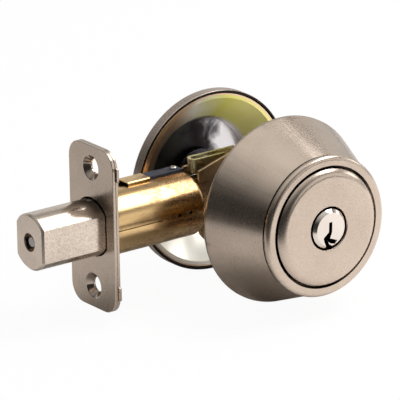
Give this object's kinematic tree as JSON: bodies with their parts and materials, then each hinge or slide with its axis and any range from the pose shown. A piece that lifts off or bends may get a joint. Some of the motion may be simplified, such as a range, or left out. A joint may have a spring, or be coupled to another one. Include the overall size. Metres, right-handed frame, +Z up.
{
  "type": "deadbolt door lock",
  "caption": "Deadbolt lock: tapered key cylinder collar, latch tube with faceplate and thrown bolt, cam between side plates, and a thumbturn on a round rose.",
  "frame": {"origin": "where the key cylinder axis crosses the bolt axis, which is the centre of the door's cross bore in the plane of the latch", "axes": "+Z up, -X the way the bolt is thrown, -Y toward the key side, +Y toward the thumbturn side"},
  "size_m": [0.1181, 0.0952, 0.0648],
  "materials": {
    "satin_nickel": "satin nickel plate with a fine grain",
    "bright_nickel": "bright nickel plate",
    "yellow_zinc": "glossy yellow chromate on zinc plate",
    "pale_chromate": "glossy yellow-green chromate on zinc plate",
    "brass": "machined brass",
    "steel": "plain zinc-plated steel",
    "hard_steel": "ground hardened steel",
    "spring_steel": "dark spring steel",
    "dark_plastic": "dark blue-grey moulded plastic"
  },
  "bodies": {
    "fixed": {"exterior_collar": "satin_nickel", "front_ring": "satin_nickel", "face_disc": "satin_nickel", "cylinder_body": "brass", "driver_pins": "steel", "pin_springs": "spring_steel", "chamber_cap": "brass", "faceplate": "satin_nickel", "backing_plate": "satin_nickel", "latch_tube": "yellow_zinc", "top_insert": "dark_plastic", "insert_stud": "steel", "rear_guide": "dark_plastic", "near_side_plate": "yellow_zinc", "far_side_plate": "yellow_zinc", "case_posts": "steel", "interior_rose": "satin_nickel", "rose_plate": "pale_chromate", "mounting_screws": "steel"},
    "plug": {"key_plug": "bright_nickel", "key_pins": "brass", "plug_retainer": "spring_steel"},
    "blade": {"tailpiece": "steel"},
    "cam": {"cam_strap": "yellow_zinc", "cam_hub": "steel", "hub_washers": "steel"},
    "bolt": {"bolt_body": "satin_nickel", "bolt_core_pin": "hard_steel", "bolt_tail": "steel", "tail_rivet": "steel", "drive_pin": "hard_steel"},
    "turn": {"thumbturn": "satin_nickel", "spring_washer": "spring_steel", "turn_washer": "steel", "turn_clip": "spring_steel"}
  },
  "joints": [
    {"name": "bolt_slide", "type": "slide", "parent": "fixed", "child": "bolt", "axis": [1, 0, 0], "range_m": [0, 0.0254]},
    {"name": "thumbturn_spin", "type": "hinge", "parent": "fixed", "child": "turn", "pos_m": [0, 0, 0], "axis": [0, 1, 0], "range_deg": [0, 90]},
    {"name": "blade_spin", "type": "hinge", "parent": "fixed", "child": "blade", "pos_m": [0, 0, 0], "axis": [0, 1, 0], "range_deg": [0, 90]},
    {"name": "cam_spin", "type": "hinge", "parent": "fixed", "child": "cam", "pos_m": [0, 0, 0], "axis": [0, 1, 0], "range_deg": [0, 90]},
    {"name": "plug_spin", "type": "hinge", "parent": "fixed", "child": "plug", "pos_m": [0, 0, 0], "axis": [0, 1, 0], "range_deg": [0, 90]}
  ],
  "couplings": [
    {"joint": "thumbturn_spin", "follows": "bolt_slide", "rad_per_m": 61.84},
    {"joint": "cam_spin", "follows": "bolt_slide", "rad_per_m": 61.84},
    {"joint": "blade_spin", "follows": "bolt_slide", "rad_per_m": 61.84},
    {"joint": "plug_spin", "follows": "bolt_slide", "rad_per_m": 61.84}
  ]
}
